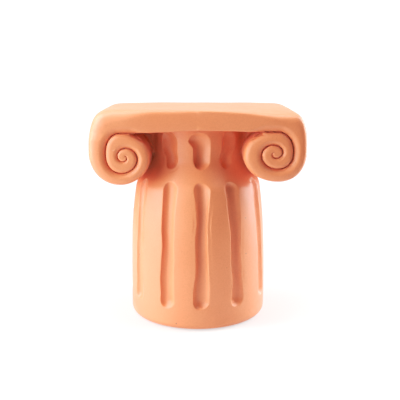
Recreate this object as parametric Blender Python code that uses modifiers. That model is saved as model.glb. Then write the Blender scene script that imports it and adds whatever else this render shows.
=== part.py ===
"""Terracotta Ionic capital, one fired piece: a gouged drum and neck under a slab that rolls into two volutes.

Metres, +Z up, the front towards -Y. The origin is on the floor, under the middle of the drum.
"""

import math

import bmesh
import bpy
from mathutils import Matrix

# Overall sizes
HEIGHT = 0.380
SCROLL_WIDTH = 0.369
SCROLL_DEPTH = 0.217
SLAB_THICKNESS = 0.036

# Drum, shoulder and neck
DRUM_RADIUS = 0.124
DRUM_TOP_RADIUS = 0.1135
DRUM_TOP_HEIGHT = 0.240
NECK_RADIUS = 0.084
NECK_START_HEIGHT = 0.300
FOOT_ROUNDING = 0.012
DRUM_TAPER_POWER = 3.5

# Scroll
EDGE_ROUNDING = 0.010
NOTCH_TURN = 0.64
NOTCH_ROUNDING = 0.0048
WEB_REACH = 0.018
WEB_DEPTH = 0.066

# Volutes, rolled by hand, so the left one hangs lower and has a squarer shoulder than the right one
VOLUTE_TURNS = 3.1
VOLUTE_TIGHTENING = 1.5
EYE_SETTLES_TURN = 1.5
LEFT_REACH_SIDEWAYS = 0.0580
LEFT_REACH_UPWARDS = 0.0560
LEFT_EYE_SHIFT = -0.0032
LEFT_EYE_SINK = 0.0020
LEFT_DROOP = 0.0035
LEFT_SHOULDER_REACH = 0.047
LEFT_SHOULDER_SQUARENESS = 4.6
LEFT_FULLNESS_SHARE = 0.045
LEFT_FULLNESS_TURN = 0.18
RIGHT_REACH_SIDEWAYS = 0.0611
RIGHT_REACH_UPWARDS = 0.0536
RIGHT_EYE_SHIFT = 0.0072
RIGHT_EYE_SINK = 0.0
RIGHT_DROOP = 0.0010
RIGHT_SHOULDER_REACH = 0.052
RIGHT_SHOULDER_SQUARENESS = 3.0
RIGHT_FULLNESS_SHARE = 0.095
RIGHT_FULLNESS_TURN = 0.15

# Groove between the turns of a volute
GROOVE_START_TURN = 0.68
GROOVE_END_TURN = 2.65
GROOVE_REACH = 0.0095
GROOVE_END_SHARE = 0.42
GROOVE_STRETCHES = ((0.60, 0.0), (0.81, 0.08), (0.98, -0.07), (1.18, 0.07), (1.42, 0.0))  # (turn, share)
GROOVE_SIDE_DEG = (0, 28, 52, 74)
GROOVE_MOUTH_SHARE = 0.35

# Flutes: the front five lean and drift as a hand cut them, and the others are spaced evenly behind
FRONT_FLUTES_DEG = (-57.5, -25.2, 3.5, 32.9, 65.8)
FRONT_LEANS_DEG = (0.0, 0.8, 0.9, -2.9, -5.5)
BACK_FLUTES = 7
FLUTE_BOTTOM = 0.0385
FLUTE_TOP = 0.2565
GOUGE_RADIUS = 0.0165
GOUGE_DEPTH = 0.0088
GOUGE_NARROWING_SHARE = 0.27
GOUGE_WAVE_SHARE = 0.08
GOUGE_DRIFT_DEG = 1.2

# Dimples of the neck
DIMPLES_DEG = (-36.2, 3.5, 40.5)
DIMPLE_LEANS_DEG = (-4.5, -4.0, 9.0)
DIMPLE_BOTTOM = 0.279
DIMPLE_TOP = 0.338
DIMPLE_BOTTOM_RADIUS = 0.0165
DIMPLE_TOP_RADIUS = 0.022
DIMPLE_DEPTH = 0.0105

# Fineness of the facets
DRUM_SIDES = 72
FOOT_STEPS = 3
DRUM_STEPS = 5
SHOULDER_STEPS = 6
OUTLINE_STEPS_PER_TURN = 28
CORNER_STEPS = 8
GROOVE_STEPS_PER_TURN = 16
FLUTE_STEPS = 9
DIMPLE_STEPS = 4
TOOL_END_STEPS = 3
TOOL_TIP_SHARE = 0.91

SLAB_UNDERSIDE = HEIGHT - SLAB_THICKNESS


def clear_scene():
    for obj in list(bpy.data.objects):
        bpy.data.objects.remove(obj)


def new_collection(name):
    collection = bpy.data.collections.new(name)
    bpy.context.scene.collection.children.link(collection)
    return collection


def as_helper(obj):
    """A cutter or a joined-in shape: it isn't a piece of its own."""
    obj.hide_render = True
    obj.display_type = "WIRE"
    return obj


def mesh_from_curve(curve_object, collection):
    """Swaps a curve for the closed mesh that it makes, with its caps welded on."""
    graph = bpy.context.evaluated_depsgraph_get()
    mesh = bpy.data.meshes.new_from_object(curve_object.evaluated_get(graph))
    work = bmesh.new()
    work.from_mesh(mesh)
    bmesh.ops.remove_doubles(work, verts=work.verts, dist=1e-6)
    bmesh.ops.recalc_face_normals(work, faces=work.faces)
    work.to_mesh(mesh)
    work.free()
    name = curve_object.name
    matrix = curve_object.matrix_world.copy()
    bpy.data.objects.remove(curve_object)
    obj = bpy.data.objects.new(name, mesh)
    obj.matrix_world = matrix
    collection.objects.link(obj)
    return as_helper(obj)


def poly_curve(name, points, collection, radii=None, closed=False, flat=False):
    """A curve object through the points, with straight stretches between them."""
    data = bpy.data.curves.new(name, "CURVE")
    data.dimensions = "2D" if flat else "3D"
    spline = data.splines.new("POLY")
    spline.points.add(len(points) - 1)
    for index, point in enumerate(points):
        spline.points[index].co = (*point, 1.0)
        if radii:
            spline.points[index].radius = radii[index]
    spline.use_cyclic_u = closed
    obj = bpy.data.objects.new(name, data)
    collection.objects.link(obj)
    return obj


def smooth_step(share):
    share = min(1.0, max(0.0, share))
    return share * share * (3 - 2 * share)


def body_radius(z):
    """Radius of the drum, the shoulder and the neck at a height, above the rounding of the foot."""
    taper = (DRUM_RADIUS - DRUM_TOP_RADIUS) * (z / DRUM_TOP_HEIGHT) ** DRUM_TAPER_POWER
    drum = DRUM_RADIUS - taper
    share = (z - DRUM_TOP_HEIGHT) / (NECK_START_HEIGHT - DRUM_TOP_HEIGHT)
    return drum + (NECK_RADIUS - drum) * smooth_step(share)


def body_profile():
    """(radius, height) from the axis inside the slab, down the outer side, to the axis at the floor."""
    top = HEIGHT - SLAB_THICKNESS / 2
    points = [(0.0, top), (NECK_RADIUS, top)]
    for step in range(SHOULDER_STEPS + 1):
        z = NECK_START_HEIGHT + (DRUM_TOP_HEIGHT - NECK_START_HEIGHT) * step / SHOULDER_STEPS
        points.append((body_radius(z), z))
    for step in range(1, DRUM_STEPS + 1):
        z = DRUM_TOP_HEIGHT + (FOOT_ROUNDING - DRUM_TOP_HEIGHT) * step / DRUM_STEPS
        points.append((body_radius(z), z))
    centre = body_radius(FOOT_ROUNDING) - FOOT_ROUNDING
    for step in range(1, FOOT_STEPS + 1):
        angle = math.pi / 2 * step / FOOT_STEPS
        points.append((centre + FOOT_ROUNDING * math.cos(angle), FOOT_ROUNDING * (1 - math.sin(angle))))
    points.append((0.0, 0.0))
    return points


def make_body(collection):
    """The turned solid that the gouges cut and the scroll joins."""
    points = body_profile()
    mesh = bpy.data.meshes.new("terracotta_capital")
    edges = [(index, index + 1) for index in range(len(points) - 1)]
    mesh.from_pydata([(radius, 0.0, z) for radius, z in points], edges, [])
    body = bpy.data.objects.new("terracotta_capital", mesh)
    collection.objects.link(body)
    turn = body.modifiers.new("turn", "SCREW")
    turn.steps = DRUM_SIDES
    turn.render_steps = DRUM_SIDES
    turn.use_merge_vertices = True
    turn.merge_threshold = 1e-5
    return body


def tool_path(points, radii):
    """Points and radii of a gouge: its straight stretch, with a round nose added past each end."""
    path = list(points)
    sizes = list(radii)
    for at_start in (True, False):
        end, inner = (path[0], path[1]) if at_start else (path[-1], path[-2])
        size = sizes[0] if at_start else sizes[-1]
        length = math.dist(end, inner)
        away = [(a - b) / length for a, b in zip(end, inner)]
        for step in range(1, TOOL_END_STEPS + 1):
            angle = math.pi / 2 * TOOL_TIP_SHARE * step / TOOL_END_STEPS
            point = tuple(a + size * math.sin(angle) * b for a, b in zip(end, away))
            if at_start:
                path.insert(0, point)
                sizes.insert(0, size * math.cos(angle))
            else:
                path.append(point)
                sizes.append(size * math.cos(angle))
    return path, sizes


def make_gouge(name, points, sizes, collection):
    """A round-nosed tool along the points, as wide as the sizes say."""
    path, radii = tool_path(points, sizes)
    tool = poly_curve(name, path, collection, radii=radii)
    tool.data.bevel_depth = 1.0
    tool.data.bevel_resolution = 4
    tool.data.use_fill_caps = True
    return mesh_from_curve(tool, collection)


def on_body(angle, z, outward):
    """The point over the body's surface at an angle from the front, a height and a distance out."""
    radius = body_radius(z) + outward
    return (radius * math.sin(angle), -radius * math.cos(angle), z)


def nose_reach(radius, depth):
    """How far a round nose of this radius, sunk this deep, cuts past the end of its straight stretch."""
    return math.sqrt(radius**2 - (radius - depth) ** 2)


def all_flutes():
    """(angle, lean) of the front flutes, then of the others, which stand evenly over the rest of the way round."""
    gap = (360 + FRONT_FLUTES_DEG[0] - FRONT_FLUTES_DEG[-1]) / (BACK_FLUTES + 1)
    behind = [(FRONT_FLUTES_DEG[-1] + gap * (index + 1), 0.0) for index in range(BACK_FLUTES)]
    return [*zip(FRONT_FLUTES_DEG, FRONT_LEANS_DEG), *behind]


def make_flute(index, degrees, lean, collection):
    """One flute: wide and round at its ends, narrower and a little wavy between them."""
    nose = nose_reach(GOUGE_RADIUS, GOUGE_DEPTH)
    low = FLUTE_BOTTOM + nose
    high = FLUTE_TOP - nose
    points = []
    sizes = []
    for step in range(FLUTE_STEPS + 1):
        share = step / FLUTE_STEPS
        z = low + (high - low) * share
        wave = GOUGE_WAVE_SHARE * math.sin(2.1 * index + 9.0 * share)
        narrowing = GOUGE_NARROWING_SHARE * math.sin(math.pi * share) ** 0.7
        size = GOUGE_RADIUS * (1 - narrowing + wave * math.sin(math.pi * share))
        drift = GOUGE_DRIFT_DEG * math.sin(1.7 * index + 5.0 * share)
        angle = math.radians(degrees + lean * (share - 0.5) + drift)
        points.append(on_body(angle, z, size - GOUGE_DEPTH))
        sizes.append(size)
    return make_gouge(f"flute_{index + 1}", points, sizes, collection)


def make_dimple(name, degrees, lean, collection):
    """A short deep gouge in the neck, wider at its top and leaning a little."""
    low = DIMPLE_BOTTOM + nose_reach(DIMPLE_BOTTOM_RADIUS, DIMPLE_DEPTH)
    high = DIMPLE_TOP - nose_reach(DIMPLE_TOP_RADIUS, DIMPLE_DEPTH)
    points = []
    sizes = []
    for step in range(DIMPLE_STEPS + 1):
        share = step / DIMPLE_STEPS
        size = DIMPLE_BOTTOM_RADIUS + (DIMPLE_TOP_RADIUS - DIMPLE_BOTTOM_RADIUS) * share
        z = low + (high - low) * share
        angle = math.radians(degrees + lean * (share - 0.5))
        points.append(on_body(angle, z, size - DIMPLE_DEPTH))
        sizes.append(size)
    return make_gouge(name, points, sizes, collection)


def make_gouges(collection):
    for index, (degrees, lean) in enumerate(all_flutes()):
        make_flute(index, degrees, lean, collection)
    for index, (degrees, lean) in enumerate(zip(DIMPLES_DEG, DIMPLE_LEANS_DEG)):
        make_dimple(f"dimple_front_{index + 1}", degrees, lean, collection)
        make_dimple(f"dimple_back_{index + 1}", 180 + degrees, lean, collection)


class Volute:
    """One roll's spiral, on the right-hand side of the middle whichever side it is for."""

    def __init__(self, name, reaches, eye_moves, droop, fullness):
        self.name = name
        self.sideways, self.upwards = reaches
        self.eye_shift, self.eye_sink = eye_moves
        self.fullness, self.fullest_turn = fullness
        self.roof = SLAB_UNDERSIDE - droop
        self.eye_x = SCROLL_WIDTH / 2 - self.sideways
        self.eye_z = self.roof - self.upwards * self.tightness(0.75)

    def tightness(self, turn):
        """Share of the first reach that is left after so many turns in from the scroll's end."""
        rise = smooth_step(turn / self.fullest_turn) - smooth_step(turn / self.fullest_turn - 1)
        return (1 - turn / VOLUTE_TURNS) ** VOLUTE_TIGHTENING * (1 + self.fullness * rise)

    def point(self, turn, stretch=0.0):
        """(x, z) on the spiral, which runs from the scroll's end down, inwards and up, or a share further out."""
        angle = 2 * math.pi * turn
        settled = smooth_step(turn / EYE_SETTLES_TURN)
        reach = self.tightness(turn) * (1 + stretch)
        x = self.eye_x + self.eye_shift * settled + self.sideways * reach * math.cos(angle)
        z = self.eye_z - self.eye_sink * settled - self.upwards * reach * math.sin(angle)
        return x, z

    def groove_point(self, turn):
        """(x, z) on the crease, drawn out to a corner under the slab's end and never above its underside."""
        stretch = 0.0
        for (start, before), (end, after) in zip(GROOVE_STRETCHES, GROOVE_STRETCHES[1:]):
            stretch += (after - before) * smooth_step((turn - start) / (end - start))
        x, z = self.point(turn, stretch)
        return x, min(z, self.roof)


def both_volutes():
    left = Volute(
        "left",
        (LEFT_REACH_SIDEWAYS, LEFT_REACH_UPWARDS),
        (LEFT_EYE_SHIFT, LEFT_EYE_SINK),
        LEFT_DROOP,
        (LEFT_FULLNESS_SHARE, LEFT_FULLNESS_TURN),
    )
    right = Volute(
        "right",
        (RIGHT_REACH_SIDEWAYS, RIGHT_REACH_UPWARDS),
        (RIGHT_EYE_SHIFT, RIGHT_EYE_SINK),
        RIGHT_DROOP,
        (RIGHT_FULLNESS_SHARE, RIGHT_FULLNESS_TURN),
    )
    return left, right


def half_outline(volute, shoulder_reach, squareness):
    """The scroll's outline on one side of the middle, from its top round to the slab's underside."""
    end_x = SCROLL_WIDTH / 2
    power = 2 / squareness
    points = []
    for step in range(CORNER_STEPS):
        angle = math.pi / 2 * (1 - step / CORNER_STEPS)
        x = end_x - shoulder_reach + shoulder_reach * math.cos(angle) ** power
        points.append((x, volute.eye_z + (HEIGHT - volute.eye_z) * math.sin(angle) ** power))
    steps = round(OUTLINE_STEPS_PER_TURN * NOTCH_TURN)
    points += [volute.point(NOTCH_TURN * step / steps) for step in range(steps + 1)]
    notch_x, notch_z = points[-1]
    points.append((notch_x + NOTCH_ROUNDING / 4, (notch_z + volute.roof) / 2))
    points.append((notch_x - NOTCH_ROUNDING, volute.roof))
    return points


def make_scroll_blank(collection):
    """The slab and both rolls as one outline, as deep as the scroll, with rounded edges."""
    left_volute, right_volute = both_volutes()
    right = half_outline(right_volute, RIGHT_SHOULDER_REACH, RIGHT_SHOULDER_SQUARENESS)
    left = half_outline(left_volute, LEFT_SHOULDER_REACH, LEFT_SHOULDER_SQUARENESS)
    left = [(-x, z) for x, z in reversed(left)]
    points = [(x, z, 0.0) for x, z in [*right, (0.0, SLAB_UNDERSIDE), *left]]
    outline = poly_curve("scroll", points, collection, closed=True, flat=True)
    outline.data.fill_mode = "BOTH"
    outline.data.extrude = SCROLL_DEPTH / 2 - EDGE_ROUNDING
    outline.data.bevel_depth = EDGE_ROUNDING
    outline.data.bevel_resolution = 2
    outline.data.offset = -EDGE_ROUNDING
    outline.matrix_world = Matrix.Rotation(math.pi / 2, 4, "X")
    bpy.context.view_layer.update()
    return mesh_from_curve(outline, collection)


def make_groove_section(collection):
    """The crease between two rounded band edges, one unit deep, closed above the face that it cuts."""
    arc = [math.radians(degrees) for degrees in GROOVE_SIDE_DEG]
    side = [(1 - math.cos(angle), math.sin(angle) - 1) for angle in arc]
    mouth = [(1.0, GROOVE_MOUTH_SHARE), (-1.0, GROOVE_MOUTH_SHARE)]
    points = side + mouth + [(-x, y) for x, y in reversed(side[1:])]
    section = poly_curve("groove_section", [(x, y, 0.0) for x, y in points], collection, closed=True, flat=True)
    section.data.fill_mode = "NONE"
    return as_helper(section)


def make_groove(volute, back, section, collection):
    """The spiral crease of one volute on one face of the scroll."""
    across = -1 if (volute.name == "left") != back else 1
    turns = GROOVE_END_TURN - GROOVE_START_TURN
    steps = round(GROOVE_STEPS_PER_TURN * turns)
    points = []
    sizes = []
    for step in range(steps + 1):
        share = step / steps
        x, z = volute.groove_point(GROOVE_START_TURN + turns * share)
        points.append((across * x, z, 0.0))
        sizes.append(GROOVE_REACH * (1 - share * (1 - GROOVE_END_SHARE)))
    face = "back" if back else "front"
    groove = poly_curve(f"groove_{volute.name}_{face}", points, collection, radii=sizes, flat=True)
    groove.data.bevel_mode = "OBJECT"
    groove.data.bevel_object = section
    groove.data.use_fill_caps = True
    stand = Matrix.Rotation(math.pi / 2, 4, "X")
    if back:
        stand = Matrix.Rotation(math.pi, 4, "Z") @ stand
    out = Matrix.Translation((0.0, SCROLL_DEPTH / 2 * (1 if back else -1), 0.0))
    groove.matrix_world = out @ stand
    bpy.context.view_layer.update()
    return mesh_from_curve(groove, collection)


def make_scroll(helpers, grooves):
    scroll = make_scroll_blank(helpers)
    section = make_groove_section(helpers)
    for volute in both_volutes():
        for back in (False, True):
            make_groove(volute, back, section, grooves)
    join(scroll, "grooves", "DIFFERENCE", collection=grooves)
    return scroll


def make_web(collection):
    """The clay packed between the neck and the rolls, under the slab."""
    low = NECK_START_HEIGHT
    high = SLAB_UNDERSIDE + SLAB_THICKNESS / 2
    mesh = bpy.data.meshes.new("web")
    work = bmesh.new()
    bmesh.ops.create_cube(work, size=1.0)
    bmesh.ops.scale(work, vec=(2 * (NECK_RADIUS + WEB_REACH), WEB_DEPTH, high - low), verts=work.verts)
    bmesh.ops.translate(work, vec=(0.0, 0.0, (low + high) / 2), verts=work.verts)
    work.to_mesh(mesh)
    work.free()
    web = bpy.data.objects.new("web", mesh)
    collection.objects.link(web)
    return as_helper(web)


def join(obj, name, operation, other=None, collection=None):
    modifier = obj.modifiers.new(name, "BOOLEAN")
    modifier.operation = operation
    if collection:
        modifier.operand_type = "COLLECTION"
        modifier.collection = collection
    else:
        modifier.object = other


def terracotta():
    """Matt orange fired clay."""
    material = bpy.data.materials.new("terracotta")
    material.use_nodes = True
    shader = material.node_tree.nodes["Principled BSDF"]
    shader.inputs["Base Color"].default_value = (0.80, 0.31, 0.15, 1.0)
    shader.inputs["Roughness"].default_value = 0.62
    shader.inputs["Metallic"].default_value = 0.0
    return material


def main():
    clear_scene()
    piece = new_collection("terracotta_capital")
    helpers = new_collection("helpers")
    gouges = new_collection("gouges")
    grooves = new_collection("grooves")
    body = make_body(piece)
    make_gouges(gouges)
    join(body, "gouges", "DIFFERENCE", collection=gouges)
    join(body, "web", "UNION", other=make_web(helpers))
    join(body, "scroll", "UNION", other=make_scroll(helpers, grooves))
    body.data.materials.append(terracotta())


main()
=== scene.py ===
"""Looks of the terracotta capital: one hand-worked clay surface, its fired-clay finish, and soft studio light.

The clay is described as a distance field, worked on a fine grid into one closed mesh. Metres, +Z up, front at -Y.
"""

import math

import bpy
import numpy as np
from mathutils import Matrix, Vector


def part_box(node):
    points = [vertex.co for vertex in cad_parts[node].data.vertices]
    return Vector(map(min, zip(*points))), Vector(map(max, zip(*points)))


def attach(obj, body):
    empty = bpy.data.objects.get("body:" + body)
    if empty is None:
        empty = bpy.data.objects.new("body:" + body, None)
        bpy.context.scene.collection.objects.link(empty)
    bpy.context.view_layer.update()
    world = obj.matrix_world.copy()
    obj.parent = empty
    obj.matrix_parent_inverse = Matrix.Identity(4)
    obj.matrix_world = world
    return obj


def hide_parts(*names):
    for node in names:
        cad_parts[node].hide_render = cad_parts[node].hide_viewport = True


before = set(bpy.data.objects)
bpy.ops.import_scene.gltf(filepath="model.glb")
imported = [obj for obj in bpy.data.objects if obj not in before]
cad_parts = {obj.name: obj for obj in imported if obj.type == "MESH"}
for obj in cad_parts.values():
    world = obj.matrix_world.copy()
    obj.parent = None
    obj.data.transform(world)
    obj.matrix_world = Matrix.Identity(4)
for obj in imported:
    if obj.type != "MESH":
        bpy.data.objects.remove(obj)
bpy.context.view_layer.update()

# Sizes that the frame gives
NODE = "terracotta_capital"
BODY = "root"
LOW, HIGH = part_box(NODE)
SKIN = 0.0007  # room inside the frame's box for the unevenness of the clay
HEIGHT = HIGH.z - SKIN
SCROLL_WIDTH = HIGH.x - LOW.x - 2 * SKIN
DRUM_RADIUS = (HIGH.y - LOW.y) / 2 - SKIN

# Scroll
SCROLL_DEPTH = 0.217
SLAB_THICKNESS = 0.036
MIDDLE_RISE = 0.0018  # how far the underside rises in the middle
DROOP = {"left": 0.0035, "right": 0.0010}  # how far it sinks at each end
TOP_SAG = {"left": 0.0, "right": 0.0008}  # how far the top sinks towards its end
TOP_SAG_REACH = (0.085, 0.155)
SHOULDER_REACH = {"left": 0.047, "right": 0.052}
SHOULDER_SQUARENESS = {"left": 3.3, "right": 3.4}
NOTCH_TURN = 0.68  # where the roll meets the slab's underside
NOTCH_WIDTH = 0.004
FRONT_FALL = 0.0090  # how far the top sinks at its front edge, near the right end
FRONT_FALL_START = (-0.030, 0.030)  # (place along the slab, place from the middle towards the back)
FRONT_FALL_END = (0.130, -0.110)
FRONT_FALL_POWERS = (1.3, 1.5)
SLAB_BULGE = {"left": 0.0016, "right": 0.0007}
BULGE_FADE = (-0.016, 0.014)  # (start above the slab's underside, reach)

# Reach of the rounding of the scroll's front and back edges, and where one gives way to the next as (start, reach)
TOP_ROUNDING = ((-0.16, 0.026), (-0.06, 0.014), (0.02, 0.008), (0.12, 0.012))  # (place from the middle, reach)
UNDERSIDE_ROUNDING = 0.0035
END_ROUNDING = {"left": 0.027, "right": 0.021}
SHOULDER_ROUNDING = {"left": 0.044, "right": 0.024}
ROLL_ROUNDING = 0.0190
SHOULDER_FADE = (-0.020, 0.035)  # above the slab's underside
ROLL_END_FADE = (0.105, 0.045)  # from the middle outwards, as the next
SLAB_END_FADE = (0.075, 0.095)
ROLL_FADE_REACH = 0.006

# Volutes: (reach sideways, reach upwards, shift of the eye outwards and upwards)
VOLUTES = {"left": (0.0580, 0.0560, -0.0032, -0.0020), "right": (0.0611, 0.0536, 0.0072, 0.0)}
VOLUTE_TURNS = 3.1
VOLUTE_TIGHTENING = 1.5
EYE_SETTLES_TURN = 1.5
VOLUTE_FULLNESS = {  # (turn, share of its reach)
    "left": ((0.0, 0.0), (0.18, 0.045), (0.36, 0.0)),
    "right": ((0.0, 0.0), (0.15, 0.095), (0.30, 0.0)),
}
CREASE_START_TURN = 0.62
CREASE_END_TURN = 2.66
CREASE_STRETCH = (  # (turn, share of its reach)
    (0.60, 0.0), (0.81, 0.08), (0.98, -0.07), (1.18, 0.07), (1.42, 0.0), (1.80, -0.11), (2.66, -0.06),
)
CREASE_STEPS = 170
CREASE_DEPTH_SHARE = 0.34  # of the width of the turn beside it, as the next two
CREASE_INNER_SHARE = 0.42
CREASE_OUTER_SHARE = 0.56
CREASE_OUTER_POWER = 1.8
CREASE_CUT_SHARE = 0.17  # how much deeper the very line is
CREASE_CUT_REACH = 0.0009
CREASE_CUT_STEPS = 900
CREASE_CUT_FADE_TURNS = 0.3
CREASE_DEEPEST = 0.018  # no part of a crease lies further behind the face

# Drum, shoulder and neck
DRUM_TOP_HEIGHT = 0.240
DRUM_TOP_RADIUS = 0.1130
DRUM_TAPER_POWER = 3.5
NECK_HEIGHT = 0.300
NECK_RADIUS = 0.084
FOOT_ROUNDING = 0.0120

# Flutes as the hand cut them: degrees from the front at the bottom and at the top, width at the ends and at the
# waist, how far up the waist is, and the depth
FRONT_FLUTES = (
    (-57.5, -57.5, 0.024, 0.020, 0.50, 0.0058),
    (-25.6, -24.8, 0.0275, 0.0230, 0.62, 0.0090),
    (3.0, 3.9, 0.0280, 0.0195, 0.70, 0.0096),
    (34.3, 31.4, 0.0275, 0.0195, 0.32, 0.0088),
    (68.5, 63.0, 0.0250, 0.0220, 0.35, 0.0065),
)
BACK_FLUTES = 7
BACK_FLUTE_WIDTH = 0.0272
BACK_FLUTE_WAIST = 0.0215
BACK_FLUTE_DEPTH = 0.0085
FLUTE_BOTTOM = 0.0385
FLUTE_TOP = 0.2565
FLUTE_WIDTH_WAVES = (0.0009, 0.0006)
FLUTE_PATH_WAVE_DEG = 0.35
GOUGE_LEAN = 0.18  # how far the deepest line lies to the left of the middle
CRISP_LIP = 0.0010
SOFT_LIP = 0.0030

# Dimples of the neck: depth, then (share of the height, degrees) and (share of the height, width) from the bottom up
DIMPLES = (
    (
        0.0095,
        ((0.0, -30.5), (0.25, -31.5), (0.55, -35.5), (1.0, -36.5)),
        ((0.0, 0.020), (0.3, 0.024), (0.6, 0.031), (1.0, 0.032)),
    ),
    (
        0.0100,
        ((0.0, 4.5), (0.56, 4.8), (0.79, 1.8), (1.0, 2.4)),
        ((0.0, 0.024), (0.3, 0.0275), (0.56, 0.029), (0.79, 0.037), (1.0, 0.034)),
    ),
    (
        0.0070,
        ((0.0, 33.5), (0.25, 34.5), (0.60, 40.5), (1.0, 41.0)),
        ((0.0, 0.020), (0.3, 0.024), (0.6, 0.030), (1.0, 0.030)),
    ),
)
DIMPLE_BOTTOM = 0.277
DIMPLE_TOP = 0.339
DIMPLE_LEAN = 0.14

# The clay packed between the neck and the rolls, as half its length, depth and height
WEB_SIZE = (0.104, 0.034, 0.026)

# How softly shapes run together
SLAB_JOINT = 0.004
WEB_JOINT = 0.010

# The waviness that hands leave
SLOW_WAVES = 0.00016
QUICK_WAVES = 0.00012
CALM_FOOT = 0.02

# Fineness
CELL = 0.0012
MOST_TRIANGLES = 190_000
CHART_STEP = 0.0005
CHART_STEP_DEG = 0.25
CHART_BOTTOM = 0.22  # below the rolls
CHART_MARGIN = 0.02
SLOPE_STEP = 0.0005

SLAB_UNDERSIDE = HEIGHT - SLAB_THICKNESS
SIDES = {"left": -1, "right": 1}


def smooth_step(share):
    share = np.clip(share, 0, 1)
    return share * share * (3 - 2 * share)


def faded(place, fade):
    """Rises from 0 to 1 over a (start, reach)."""
    start, reach = fade
    return smooth_step((place - start) / reach)


def smooth_through(place, stops):
    """A value that passes through the (place, value) stops, level at each of them."""
    total = stops[0][1]
    for (start, before), (end, after) in zip(stops, stops[1:]):
        total = total + (after - before) * smooth_step((place - start) / (end - start))
    return total


def soft_max(a, b, reach):
    """The larger of two fields, with the edge between them rounded over the reach."""
    near = np.maximum(reach - np.abs(a - b), 0) / reach
    return np.maximum(a, b) + near * near * reach / 4


def softer_max(a, b, reach):
    """As soft_max, with no line where the rounding starts."""
    near = np.maximum(reach - np.abs(a - b), 0) / reach
    return np.maximum(a, b) + near * near * near * reach / 6


def soft_min(a, b, reach):
    return -soft_max(-a, -b, reach)


def rounded_corner(a, b, radius):
    """Distance to what is inside both fields, with the edge where they meet rounded to the radius."""
    a = a + radius
    b = b + radius
    return np.minimum(np.maximum(a, b), 0) + np.hypot(np.maximum(a, 0), np.maximum(b, 0)) - radius


class Chart:
    """A field of two coordinates, worked out once on a fine grid and read back by linear interpolation."""

    def __init__(self, low, high, steps, field):
        self.low = low
        self.steps = steps
        axes = [np.arange(a, b + 1.5 * step, step) for a, b, step in zip(low, high, steps)]
        grid = np.meshgrid(*axes, indexing="ij")
        self.values = field(*grid).astype(np.float32)

    def __call__(self, a, b):
        last = np.array(self.values.shape) - 1.001
        u = np.clip((a - self.low[0]) / self.steps[0], 0, last[0])
        v = np.clip((b - self.low[1]) / self.steps[1], 0, last[1])
        i = u.astype(np.int32)
        j = v.astype(np.int32)
        u = u - i
        v = v - j
        rows = self.values
        near = rows[i, j] * (1 - v) + rows[i, j + 1] * v
        far = rows[i + 1, j] * (1 - v) + rows[i + 1, j + 1] * v
        return near * (1 - u) + far * u


def body_radius(z):
    """Radius of the drum, the shoulder and the neck at each height."""
    drum = DRUM_RADIUS - (DRUM_RADIUS - DRUM_TOP_RADIUS) * (np.maximum(z, 0) / DRUM_TOP_HEIGHT) ** DRUM_TAPER_POWER
    share = smooth_step((z - DRUM_TOP_HEIGHT) / (NECK_HEIGHT - DRUM_TOP_HEIGHT))
    return drum + (NECK_RADIUS - drum) * share


def volute_point(side, turn):
    """(x, z) on a volute's spiral, which runs from the scroll's end down, inwards and up."""
    sideways, upwards, outward_shift, upward_shift = VOLUTES[side]
    turn = np.asarray(turn, float)
    tight = (1 - turn / VOLUTE_TURNS) ** VOLUTE_TIGHTENING * (1 + smooth_through(turn, VOLUTE_FULLNESS[side]))
    angle = 2 * np.pi * turn
    settled = smooth_step(turn / EYE_SETTLES_TURN)
    x = SCROLL_WIDTH / 2 - sideways + outward_shift * settled + sideways * tight * np.cos(angle)
    z = eye_height(side) + upward_shift * settled - upwards * tight * np.sin(angle)
    return SIDES[side] * x, z


def eye_height(side):
    """The roll's top meets the underside of the slab, three quarters of a turn in."""
    upwards = VOLUTES[side][1]
    return SLAB_UNDERSIDE - DROOP[side] - upwards * (1 - 0.75 / VOLUTE_TURNS) ** VOLUTE_TIGHTENING


def half_outline(side):
    """The scroll's outline on one side, from its top round the roll to the slab's underside."""
    turn = np.linspace(0, 1, 24, endpoint=False)
    angle = np.pi / 2 * (1 - turn)
    power = 2 / SHOULDER_SQUARENESS[side]
    reach = SHOULDER_REACH[side]
    x = SCROLL_WIDTH / 2 - reach + reach * np.cos(angle) ** power
    z = eye_height(side) + (HEIGHT - eye_height(side)) * np.sin(angle) ** power
    level = np.linspace(TOP_SAG_REACH[0], x[0], 12, endpoint=False)
    x = np.concatenate([level, x])
    z = np.concatenate([np.full(12, HEIGHT), z])
    start, end = TOP_SAG_REACH
    sag = TOP_SAG[side] * smooth_step((x - start) / (end - start))
    z = z - sag * (z - eye_height(side)) / (HEIGHT - eye_height(side))
    roll_x, roll_z = volute_point(side, np.linspace(0, NOTCH_TURN, 48))
    notch_x = roll_x[-1] - SIDES[side] * NOTCH_WIDTH
    x = np.concatenate([SIDES[side] * x, roll_x, [notch_x]])
    z = np.concatenate([z, roll_z, [SLAB_UNDERSIDE - DROOP[side]]])
    return np.stack([x, z], axis=1)


def scroll_outline():
    right = half_outline("right")
    left = half_outline("left")[::-1]
    return np.concatenate([right, [[0.0, SLAB_UNDERSIDE + MIDDLE_RISE]], left])


def outline_distance(x, z):
    """Signed distance to the scroll's outline, negative inside."""
    points = scroll_outline()
    nearest = np.full(x.shape, np.inf)
    inside = np.zeros(x.shape, bool)
    for (ax, az), (bx, bz) in zip(points, np.roll(points, -1, axis=0)):
        dx, dz = bx - ax, bz - az
        share = np.clip(((x - ax) * dx + (z - az) * dz) / (dx * dx + dz * dz), 0, 1)
        nearest = np.minimum(nearest, (x - ax - share * dx) ** 2 + (z - az - share * dz) ** 2)
        if az != bz:
            crosses = (az > z) != (bz > z)
            inside ^= crosses & (x < ax + (z - az) * dx / dz)
    return np.where(inside, -1, 1) * np.sqrt(nearest)


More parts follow.
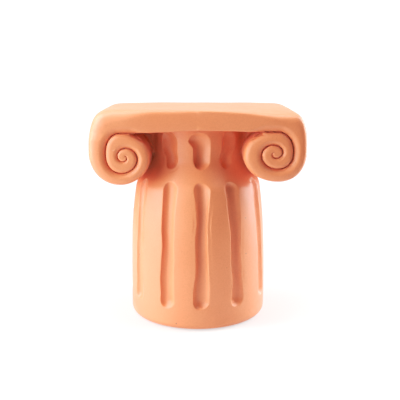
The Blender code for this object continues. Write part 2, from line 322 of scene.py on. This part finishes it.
def crease_line(side, turn):
    """(x, z) on the line between two turns, drawn out to a corner under the slab's end, never above its underside."""
    x, z = volute_point(side, turn)
    eye_x, eye_z = volute_point(side, VOLUTE_TURNS)
    stretch = 1 + smooth_through(turn, CREASE_STRETCH)
    z = eye_z + (z - eye_z) * stretch
    return eye_x + (x - eye_x) * stretch, np.minimum(z, SLAB_UNDERSIDE - DROOP[side])


def turn_width(side, turns):
    tight = (1 - turns / VOLUTE_TURNS) ** VOLUTE_TIGHTENING
    further = np.clip(1 - (turns + 1) / VOLUTE_TURNS, 0, None) ** VOLUTE_TIGHTENING
    return VOLUTES[side][0] * (tight - further)


def crease_depth(x, z):
    """How far the face is pressed in along the spiral line: a steep wall on its inner side, a long slope outside."""
    depth = np.zeros(x.shape)
    turns = np.linspace(CREASE_START_TURN, CREASE_END_TURN, CREASE_STEPS)
    for side, sign in SIDES.items():
        px, pz = crease_line(side, turns)
        widths = turn_width(side, turns)
        for index in range(len(turns) - 1):
            width = widths[index]
            near = (np.abs(x[:, 0] - px[index]) < width, np.abs(z[0] - pz[index]) < width)
            window = np.ix_(*near)
            dx, dz = px[index + 1] - px[index], pz[index + 1] - pz[index]
            ox, oz = x[window] - px[index], z[window] - pz[index]
            share = np.clip((ox * dx + oz * dz) / (dx * dx + dz * dz), 0, 1)
            away = np.hypot(ox - share * dx, oz - share * dz) / width
            inner = 1 - np.clip(away / CREASE_INNER_SHARE, 0, 1)
            outer = 1 - np.clip(away / CREASE_OUTER_SHARE, 0, 1)
            outside = sign * (dx * oz - dz * ox) > 0
            pressed = np.where(outside, outer**CREASE_OUTER_POWER, 1 - np.sqrt(1 - inner * inner + 1e-9))
            depth[window] = np.maximum(depth[window], CREASE_DEPTH_SHARE * width * pressed)
    return depth


def bulge(x, z):
    """How far the slab's face falls back above and below its middle."""
    most = np.where(x < 0, SLAB_BULGE["left"], SLAB_BULGE["right"])
    off_middle = np.clip((z - SLAB_UNDERSIDE) / SLAB_THICKNESS * 2 - 1, -1, 1)
    return most * off_middle**2 * faded(z - SLAB_UNDERSIDE, BULGE_FADE)


def edge_rounding(x, z):
    """Reach of the rounding of the scroll's front and back edges: wide on top and at the ends, tight below."""
    high = smooth_step((z - SLAB_UNDERSIDE) / SLAB_THICKNESS)
    under = UNDERSIDE_ROUNDING + (smooth_through(x, TOP_ROUNDING) - UNDERSIDE_ROUNDING) * high
    end = np.where(x < 0, END_ROUNDING["left"], END_ROUNDING["right"])
    shoulder = np.where(x < 0, SHOULDER_ROUNDING["left"], SHOULDER_ROUNDING["right"])
    end = end + (shoulder - end) * faded(z - SLAB_UNDERSIDE, SHOULDER_FADE)
    roll = ROLL_ROUNDING + (end - ROLL_ROUNDING) * faded(np.abs(x), ROLL_END_FADE)
    in_slab = under + (end - under) * faded(np.abs(x), SLAB_END_FADE)
    return in_slab + (roll - in_slab) * smooth_step((SLAB_UNDERSIDE - z) / ROLL_FADE_REACH)


def flute_list():
    """Every flute: the front ones, then others worked out to stand evenly behind."""
    flutes = list(FRONT_FLUTES)
    first, last = FRONT_FLUTES[0][0], FRONT_FLUTES[-1][0]
    gap = (360 + first - last) / (BACK_FLUTES + 1)
    for index in range(BACK_FLUTES):
        angle = last + gap * (index + 1)
        lean = 2.0 * math.sin(2.3 * index)
        waist = BACK_FLUTE_WAIST + 0.002 * math.sin(4.1 * index)
        waist_share = 0.5 + 0.2 * math.sin(1.9 * index)
        flutes.append((angle + lean, angle - lean, BACK_FLUTE_WIDTH, waist, waist_share, BACK_FLUTE_DEPTH))
    return flutes


def scoop(aside, beyond, half_width, depth, lean):
    """Depth of a round-nosed gouge at a distance aside of its line and beyond its end: steep and crisp on the
    left, easier on the right."""
    radius = (half_width**2 + depth**2) / (2 * depth)
    leaning = aside + lean * np.maximum(half_width - aside**2 / half_width, 0)
    away = np.hypot(leaning, beyond)
    cut = np.sqrt(np.maximum(radius**2 - away**2, 0)) - (radius - depth)
    lip = CRISP_LIP + (SOFT_LIP - CRISP_LIP) * smooth_step(0.5 + aside / half_width)
    return soft_max(cut, np.zeros_like(cut), lip) * (away < 1.6 * half_width)


def wrapped(degrees):
    return (degrees + 180) % 360 - 180


def relief(degrees, z):
    """How deep the flutes and dimples are cut at an angle from the front and a height."""
    arc = np.radians(1) * body_radius(z)
    depth = np.zeros(degrees.shape)
    wide, slight = FLUTE_WIDTH_WAVES
    for index, (low_angle, high_angle, end, waist, waist_share, deepest) in enumerate(flute_list()):
        share = (z - FLUTE_BOTTOM) / (FLUTE_TOP - FLUTE_BOTTOM)
        bend = np.where(share < waist_share, share / waist_share, (1 - share) / (1 - waist_share))
        narrow = smooth_step(1.15 * bend) ** 0.8
        wobble = wide * np.sin(2.7 * index + 17 * share) + slight * np.sin(1.3 * index + 31 * share)
        half_width = (end + (waist - end) * narrow + wobble) / 2
        angle = low_angle + (high_angle - low_angle) * share
        angle = angle + FLUTE_PATH_WAVE_DEG * np.sin(1.9 * index + 13 * share)
        aside = wrapped(degrees - angle) * arc
        reach = end / 2
        beyond = np.maximum(np.maximum(FLUTE_BOTTOM + reach - z, z - FLUTE_TOP + reach), 0)
        depth = np.maximum(depth, scoop(aside, beyond, half_width, deepest, GOUGE_LEAN))
    for back in (0, 180):
        for deepest, angles, widths in DIMPLES:
            share = np.clip((z - DIMPLE_BOTTOM) / (DIMPLE_TOP - DIMPLE_BOTTOM), 0, 1)
            aside = wrapped(degrees - smooth_through(share, angles) - back) * arc
            low_reach, high_reach = widths[0][1] / 2, widths[-1][1] / 2
            beyond = np.maximum(np.maximum(DIMPLE_BOTTOM + low_reach - z, z - DIMPLE_TOP + high_reach), 0)
            cut = scoop(aside, beyond, smooth_through(share, widths) / 2, deepest, DIMPLE_LEAN)
            depth = np.maximum(depth, cut)
    return depth


class Clay:
    """The distance field of the whole piece, negative inside the clay."""

    def __init__(self):
        half = SCROLL_WIDTH / 2 + CHART_MARGIN
        low, high = (-half, CHART_BOTTOM), (half, HEIGHT + CHART_MARGIN)
        steps = (CHART_STEP, CHART_STEP)
        self.outline = Chart(low, high, steps, outline_distance)
        self.crease = Chart(low, high, steps, lambda x, z: crease_depth(x, z) + bulge(x, z))
        self.rounding = Chart(low, high, steps, edge_rounding)
        self.relief = Chart((-180.0, 0.0), (180.0, HEIGHT), (CHART_STEP_DEG, CHART_STEP), relief)

    def unevenness(self, x, y, z):
        """The slight waviness that hands leave, none of it at the floor."""
        slow = np.sin(31 * x + 17 * z + 0.7) + np.sin(23 * y - 29 * z + 1.9) + np.sin(37 * z + 19 * x - 13 * y)
        quick = np.sin(83 * x - 71 * z + 2.1) * np.sin(67 * y + 59 * z + 0.4)
        return (SLOW_WAVES * slow + QUICK_WAVES * quick) * np.clip(z / CALM_FOOT, 0, 1)

    def body(self, x, y, z):
        around = np.hypot(x, y)
        degrees = np.degrees(np.arctan2(x, -y))
        radius = body_radius(z)
        slope = (body_radius(z + SLOPE_STEP) - body_radius(z - SLOPE_STEP)) / (2 * SLOPE_STEP)
        side = (around - radius + self.relief(degrees, z)) / np.sqrt(1 + slope * slope)
        return rounded_corner(side, np.maximum(-z, z - HEIGHT + SLAB_THICKNESS / 2), FOOT_ROUNDING)

    def scroll(self, x, y, z):
        """The slab and the rolls, with the top falling away towards the front at the right."""
        fall = FRONT_FALL + SLAB_JOINT
        for place, start, end, power in zip((x, y), FRONT_FALL_START, FRONT_FALL_END, FRONT_FALL_POWERS):
            fall = fall * np.clip((place - start) / (end - start), 0, 1) ** power
        inset = soft_max(self.outline(x, z), z - HEIGHT - SLAB_JOINT + fall, SLAB_JOINT)
        face = np.abs(y) - SCROLL_DEPTH / 2 + self.crease(x, z)
        return softer_max(inset, face, self.rounding(x, z))

    def web(self, x, y, z):
        """The clay packed between the neck and the rolls, under the slab."""
        length, depth, height = WEB_SIZE
        middle = SLAB_UNDERSIDE - height / 2
        parts = [np.abs(x) - length, np.abs(y) - depth, np.abs(z - middle) - height]
        outside = np.sqrt(sum(np.maximum(part, 0) ** 2 for part in parts))
        return outside + np.minimum(np.maximum(np.maximum(*parts[:2]), parts[2]), 0)

    def __call__(self, points):
        x, y, z = points[:, 0], points[:, 1], points[:, 2]
        packed = soft_min(self.body(x, y, z), self.web(x, y, z), WEB_JOINT)
        joined = soft_min(packed, self.scroll(x, y, z), SLAB_JOINT)
        return joined + self.unevenness(x, y, z)

    def slope(self, points, reach):
        """Gradient of the field by central differences."""
        steps = np.eye(3) * reach
        return np.stack([self(points + step) - self(points - step) for step in steps], axis=1) / (2 * reach)


def in_parts(field, points, most=400_000):
    return np.concatenate([field(points[start : start + most]) for start in range(0, len(points), most)])


def sampled_field(field, low, counts, cell):
    """The field on a grid: exact near the surface, and only its sign elsewhere."""
    every = 4
    coarse_counts = [count // every + 1 for count in counts]
    axes = [low[axis] + cell * every * np.arange(coarse_counts[axis]) for axis in range(3)]
    coarse = np.stack([grid.ravel() for grid in np.meshgrid(*axes, indexing="ij")], axis=1)
    rough = in_parts(field, coarse).reshape(coarse_counts)
    close = np.abs(rough) < 2.2 * every * cell
    values = np.sign(rough)
    for axis in range(3):
        close = np.repeat(close, every, axis=axis)
        values = np.repeat(values, every, axis=axis)
    shift = every // 2
    values = np.roll(values, (-shift,) * 3, axis=(0, 1, 2))[: counts[0], : counts[1], : counts[2]].astype(np.float32)
    close = np.roll(close, (-shift,) * 3, axis=(0, 1, 2))[: counts[0], : counts[1], : counts[2]]
    where = np.flatnonzero(close)
    index = np.stack(np.unravel_index(where, values.shape), axis=1)
    values.ravel()[where] = in_parts(field, low + cell * index)
    return values


CORNERS = [(i, j, k) for i in (0, 1) for j in (0, 1) for k in (0, 1)]


def net_vertices(values, active):
    """One vertex in each grid cell that the surface passes through, at the mean of where it cuts the cell's edges."""
    cells = np.stack(np.nonzero(active), axis=1)
    corner_values = {c: values[tuple((cells + c).T)] for c in CORNERS}
    total = np.zeros(cells.shape)
    hits = np.zeros(len(cells))
    for start in CORNERS:
        for axis in range(3):
            if start[axis]:
                continue
            end = tuple(1 if other == axis else start[other] for other in range(3))
            a, b = corner_values[start], corner_values[end]
            cut = (a < 0) != (b < 0)
            crossing = np.tile(np.array(start, float), (len(cells), 1))
            crossing[:, axis] = a / np.where(cut, a - b, 1)
            total += crossing * cut[:, None]
            hits += cut
    return cells + total / hits[:, None]


def net_faces(inside, numbers):
    """A quad round each grid edge that the surface cuts, facing out of the clay."""
    faces = []
    for axis in range(3):
        u, v = (axis + 1) % 3, (axis + 2) % 3
        start = [slice(1, -1)] * 3
        end = [slice(1, -1)] * 3
        start[axis], end[axis] = slice(0, -1), slice(1, None)
        first, second = inside[tuple(start)], inside[tuple(end)]
        edges = np.stack(np.nonzero(first != second), axis=1)
        out = first[tuple(edges.T)]
        edges[:, u] += 1
        edges[:, v] += 1
        ring = []
        for du, dv in ((-1, -1), (0, -1), (0, 0), (-1, 0)):
            cell = edges.copy()
            cell[:, u] += du
            cell[:, v] += dv
            ring.append(numbers[tuple(cell.T)])
        ring = np.stack(ring, axis=1)
        faces.append(np.where(out[:, None], ring, ring[:, ::-1]))
    return np.concatenate(faces)


def settle(field, points, cell, rounds=3):
    """Moves points onto the surface, none further than half a cell."""
    start = points.copy()
    for _ in range(rounds):
        slope = field.slope(points, 0.15 * cell)
        size = np.maximum((slope**2).sum(axis=1), 0.05)
        points = points - slope * (field(points) / size)[:, None]
        moved = points - start
        far = np.linalg.norm(moved, axis=1, keepdims=True)
        points = start + moved * np.minimum(1, 0.6 * cell / np.maximum(far, 1e-9))
    return points


def cut_creases(points):
    """Draws the vertices beside a volute's spiral onto its line, and sinks them a little further."""
    turns = np.linspace(CREASE_START_TURN, CREASE_END_TURN, CREASE_CUT_STEPS)
    near_face = np.flatnonzero(np.abs(points[:, 1]) > SCROLL_DEPTH / 2 - CREASE_DEEPEST)
    for side in SIDES:
        px, pz = crease_line(side, turns)
        widths = turn_width(side, turns)
        some = near_face
        for axis, line in ((0, px), (2, pz)):
            place = points[some, axis]
            some = some[(place > line.min() - CREASE_CUT_REACH) & (place < line.max() + CREASE_CUT_REACH)]
        away = np.hypot(points[some, 0, None] - px, points[some, 2, None] - pz)
        nearest = away.argmin(axis=1)
        close = away.min(axis=1) < CREASE_CUT_REACH
        some, nearest = some[close], nearest[close]
        fading = smooth_step((CREASE_END_TURN - turns[nearest]) / CREASE_CUT_FADE_TURNS)
        depth = (CREASE_DEPTH_SHARE + CREASE_CUT_SHARE * fading) * widths[nearest]
        depth = depth + bulge(px[nearest], pz[nearest])
        points[some, 0] = px[nearest]
        points[some, 2] = pz[nearest]
        points[some, 1] = np.sign(points[some, 1]) * (SCROLL_DEPTH / 2 - depth)
    return points


def mesh_of(name, points, faces):
    mesh = bpy.data.meshes.new(name)
    mesh.vertices.add(len(points))
    mesh.vertices.foreach_set("co", points.astype(np.float32).ravel())
    mesh.loops.add(faces.size)
    mesh.loops.foreach_set("vertex_index", faces.astype(np.int32).ravel())
    mesh.polygons.add(len(faces))
    mesh.polygons.foreach_set("loop_start", np.arange(0, faces.size, faces.shape[1], dtype=np.int32))
    mesh.update(calc_edges=True)
    mesh.validate()
    return mesh


def applied(obj):
    """Leaves the object with the mesh that its modifiers make, and no modifiers."""
    graph = bpy.context.evaluated_depsgraph_get()
    mesh = bpy.data.meshes.new_from_object(obj.evaluated_get(graph))
    obj.modifiers.clear()
    obj.data = mesh
    return mesh


def make_clay_mesh(name):
    """The clay surface, with few faces where it is flat and many where it is finely worked."""
    field = Clay()
    margin = 4 * CELL
    low = np.array(LOW) - margin
    counts = np.ceil((np.array(HIGH) + margin - low) / CELL).astype(int) + 1
    values = sampled_field(field, low, counts, CELL)
    inside = values < 0
    full = sum(
        inside[i : inside.shape[0] - 1 + i, j : inside.shape[1] - 1 + j, k : inside.shape[2] - 1 + k].astype(np.uint8)
        for i, j, k in CORNERS
    )
    active = (full > 0) & (full < 8)
    numbers = np.full(active.shape, -1, np.int32)
    numbers[active] = np.arange(np.count_nonzero(active))
    points = low + CELL * net_vertices(values, active)
    faces = net_faces(inside, numbers)
    points = settle(field, points, CELL)
    obj = bpy.data.objects.new(name, mesh_of(name, points, faces))
    bpy.context.scene.collection.objects.link(obj)
    thin = obj.modifiers.new("thin", "DECIMATE")
    thin.ratio = min(1.0, MOST_TRIANGLES / (2 * len(faces)))
    mesh = applied(obj)
    mesh.name = name
    points = np.empty(len(mesh.vertices) * 3, np.float32)
    mesh.vertices.foreach_get("co", points)
    points = settle(field, points.reshape(-1, 3).astype(float), CELL, rounds=2)
    points = cut_creases(points)
    points[:, 2] = np.maximum(points[:, 2], LOW.z)
    mesh.vertices.foreach_set("co", points.astype(np.float32).ravel())
    mesh.update()
    mesh.shade_smooth()
    return obj


def new_node(tree, kind, **values):
    node = tree.nodes.new(kind)
    for key, value in values.items():
        if hasattr(node, key):
            setattr(node, key, value)
        else:
            node.inputs[key.replace("_", " ")].default_value = value
    return node


# Finish of the clay: two slow tones, grain, specks, dry gloss, fine dust that lightens it at a low angle, and bumps
BLACK = (0.0, 0.0, 0.0, 1.0)
WHITE = (1.0, 1.0, 1.0, 1.0)
DEEP_TONE = (0.775, 0.213, 0.092, 1.0)
PALE_TONE = (0.825, 0.242, 0.110, 1.0)
GRAIN_TONE = (0.90, 0.88, 0.86, 1.0)
SPECK_TONE = (0.22, 0.09, 0.05, 1.0)
GLOSSIEST = (0.42, 0.42, 0.42, 1.0)
DRIEST = (0.52, 0.52, 0.52, 1.0)
SHEEN = 0.07
SHEEN_ROUGHNESS = 0.35
FINE_BUMP = {"Strength": 0.12, "Distance": 0.0004}
SOFT_BUMP = {"Strength": 0.25, "Distance": 0.0012}


def terracotta():
    """Matt fired clay: slow shifts of tone, fine grain, rare dark specks."""
    material = bpy.data.materials.new("terracotta")
    material.use_nodes = True
    tree = material.node_tree
    shader = tree.nodes["Principled BSDF"]
    place = new_node(tree, "ShaderNodeTexCoord")

    def noise(scale, detail, roughness=0.5):
        node = new_node(tree, "ShaderNodeTexNoise", Scale=scale, Detail=detail, Roughness=roughness)
        tree.links.new(place.outputs["Object"], node.inputs["Vector"])
        return node.outputs["Fac"]

    def ramp(source, stops):
        node = tree.nodes.new("ShaderNodeValToRGB")
        elements = node.color_ramp.elements
        while len(elements) < len(stops):
            elements.new(0.5)
        for element, (position, colour) in zip(elements, stops):
            element.position = position
            element.color = colour
        tree.links.new(source, node.inputs["Fac"])
        return node.outputs["Color"]

    def blend(kind, share, first, second):
        node = new_node(tree, "ShaderNodeMix", data_type="RGBA", blend_type=kind)
        for socket, source in ((node.inputs["Factor"], share), (node.inputs[6], first), (node.inputs[7], second)):
            if isinstance(source, (float, tuple)):
                socket.default_value = source
            else:
                tree.links.new(source, socket)
        return node.outputs[2]

    tone = ramp(noise(9.0, 3.0), [(0.30, DEEP_TONE), (0.70, PALE_TONE)])
    grain = ramp(noise(420.0, 4.0, 0.6), [(0.25, GRAIN_TONE), (0.60, WHITE)])
    speck = ramp(noise(150.0, 1.0), [(0.0, BLACK), (0.800, BLACK), (0.815, WHITE)])
    toned = blend("MULTIPLY", 1.0, tone, grain)
    tree.links.new(blend("MIX", speck, toned, SPECK_TONE), shader.inputs["Base Color"])
    gloss = ramp(noise(60.0, 3.0), [(0.3, GLOSSIEST), (0.7, DRIEST)])
    tree.links.new(gloss, shader.inputs["Roughness"])
    shader.inputs["Sheen Weight"].default_value = SHEEN
    shader.inputs["Sheen Roughness"].default_value = SHEEN_ROUGHNESS
    fine = new_node(tree, "ShaderNodeBump", **FINE_BUMP)
    tree.links.new(noise(900.0, 3.0, 0.6), fine.inputs["Height"])
    soft = new_node(tree, "ShaderNodeBump", **SOFT_BUMP)
    tree.links.new(noise(95.0, 2.0), soft.inputs["Height"])
    tree.links.new(fine.outputs["Normal"], soft.inputs["Normal"])
    tree.links.new(soft.outputs["Normal"], shader.inputs["Normal"])
    return material


# Camera: from the size and place of the drum and the slab in the photograph
CAMERA_PLACE = (0.0041, -1.230, 0.459)
CAMERA_PITCH_DEG = 11.6
FOCAL_SHARE = 1.70  # focal length over the width of the sensor
SENSOR_MM = 36.0

# Light: the softboxes as (name, place, size, watts) and what they are turned to, the pale wall behind, the floor,
# and the tones of the picture as (light, brightness)
SOFTBOXES = (
    ("left_front", (-0.92, -0.77, 0.50), (0.8, 1.0), 10.1),
    ("left", (-1.18, -0.21, 0.50), (0.8, 1.0), 12.3),
    ("right_back", (1.13, 0.41, 0.50), (0.6, 1.0), 20.0),
    ("top", (0.00, 0.10, 1.40), (0.9, 0.6), 6.6),
    ("top_left", (-0.85, -0.10, 1.15), (0.7, 0.7), 13.9),
    ("top_right", (0.85, -0.10, 1.15), (0.7, 0.7), 9.8),
)
SOFTBOXES_FACE = (0.0, 0.0, 0.2)
WALL_LIGHT = 0.38
BACKDROP_LIGHT = 1.2
FLOOR_REACH = 0.90
FLOOR_ALBEDO = 0.35
FLOOR_ROUGHNESS = 0.9
FLOOR_GLOW = 0.48
FLOOR_GLOW_AT_EDGE = 0.62
FLOOR_GLOW_STARTS = 0.3
TONE_CURVE = (
    (0.02, 0.030), (0.05, 0.063), (0.10, 0.126), (0.20, 0.275),
    (0.35, 0.475), (0.50, 0.620), (0.70, 0.790), (0.88, 0.905),
)


def add_camera():
    data = bpy.data.cameras.new("camera")
    data.sensor_width = SENSOR_MM
    data.lens = SENSOR_MM * FOCAL_SHARE
    camera = bpy.data.objects.new("camera", data)
    camera.location = CAMERA_PLACE
    camera.rotation_euler = (math.radians(90 - CAMERA_PITCH_DEG), 0.0, 0.0)
    bpy.context.scene.collection.objects.link(camera)
    bpy.context.scene.camera = camera


def add_softbox(name, place, size, watts):
    data = bpy.data.lights.new(name, "AREA")
    data.shape = "RECTANGLE"
    data.size, data.size_y = size
    data.energy = watts
    light = bpy.data.objects.new(name, data)
    light.location = place
    light.rotation_euler = (Vector(SOFTBOXES_FACE) - Vector(place)).to_track_quat("-Z", "Y").to_euler()
    bpy.context.scene.collection.objects.link(light)


def add_wall_light():
    """A room that is dark but for the pale wall behind the piece, and white to the camera."""
    world = bpy.data.worlds.new("studio")
    world.use_nodes = True
    tree = world.node_tree
    place = tree.nodes.new("ShaderNodeTexCoord")
    ways = tree.nodes.new("ShaderNodeSeparateXYZ")
    rays = tree.nodes.new("ShaderNodeLightPath")
    behind = new_node(tree, "ShaderNodeMapRange", From_Min=-0.1, From_Max=0.1, To_Max=WALL_LIGHT)
    above = new_node(tree, "ShaderNodeMapRange", From_Max=0.02)
    wall = new_node(tree, "ShaderNodeMath", operation="MULTIPLY")
    seen = new_node(tree, "ShaderNodeMapRange", To_Max=BACKDROP_LIGHT)
    tree.links.new(place.outputs["Generated"], ways.inputs["Vector"])
    tree.links.new(ways.outputs["Y"], behind.inputs["Value"])
    tree.links.new(ways.outputs["Z"], above.inputs["Value"])
    tree.links.new(behind.outputs["Result"], wall.inputs[0])
    tree.links.new(above.outputs["Result"], wall.inputs[1])
    tree.links.new(rays.outputs["Is Camera Ray"], seen.inputs["Value"])
    tree.links.new(wall.outputs["Value"], seen.inputs["To Min"])
    background = tree.nodes["Background"]
    background.inputs["Color"].default_value = WHITE
    tree.links.new(seen.outputs["Result"], background.inputs["Strength"])
    bpy.context.scene.world = world


def set_tones():
    """A photograph's tones: lifted middle, soft highlights."""
    settings = bpy.context.scene.view_settings
    settings.view_transform = "Standard"
    settings.look = "None"
    settings.use_curve_mapping = True
    mapping = settings.curve_mapping
    for light, brightness in TONE_CURVE:
        mapping.curves[3].points.new(light, brightness)
    mapping.update()


def add_floor():
    mesh = bpy.data.meshes.new("floor")
    angles = np.linspace(0, 2 * math.pi, 96, endpoint=False)
    ring = [(FLOOR_REACH * math.cos(angle), FLOOR_REACH * math.sin(angle), 0) for angle in angles]
    mesh.from_pydata(ring, [], [tuple(range(len(ring)))])
    floor = bpy.data.objects.new("floor", mesh)
    material = bpy.data.materials.new("floor")
    material.use_nodes = True
    tree = material.node_tree
    shader = tree.nodes["Principled BSDF"]
    shader.inputs["Base Color"].default_value = (FLOOR_ALBEDO, FLOOR_ALBEDO, FLOOR_ALBEDO, 1.0)
    shader.inputs["Roughness"].default_value = FLOOR_ROUGHNESS
    shader.inputs["Emission Color"].default_value = WHITE
    place = tree.nodes.new("ShaderNodeTexCoord")
    away = new_node(tree, "ShaderNodeVectorMath", operation="LENGTH")
    glow = new_node(tree, "ShaderNodeMapRange", From_Min=FLOOR_GLOW_STARTS, From_Max=FLOOR_REACH)
    glow.inputs["To Min"].default_value = FLOOR_GLOW
    glow.inputs["To Max"].default_value = FLOOR_GLOW_AT_EDGE
    tree.links.new(place.outputs["Object"], away.inputs[0])
    tree.links.new(away.outputs["Value"], glow.inputs["Value"])
    tree.links.new(glow.outputs["Result"], shader.inputs["Emission Strength"])
    mesh.materials.append(material)
    floor.location.z = LOW.z
    bpy.context.scene.collection.objects.link(floor)


def main():
    add_camera()
    for softbox in SOFTBOXES:
        add_softbox(*softbox)
    add_wall_light()
    set_tones()
    add_floor()
    capital = make_clay_mesh("terracotta_capital_surface")
    capital.data.materials.clear()
    capital.data.materials.append(terracotta())
    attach(capital, BODY)
    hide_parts(NODE)


main()
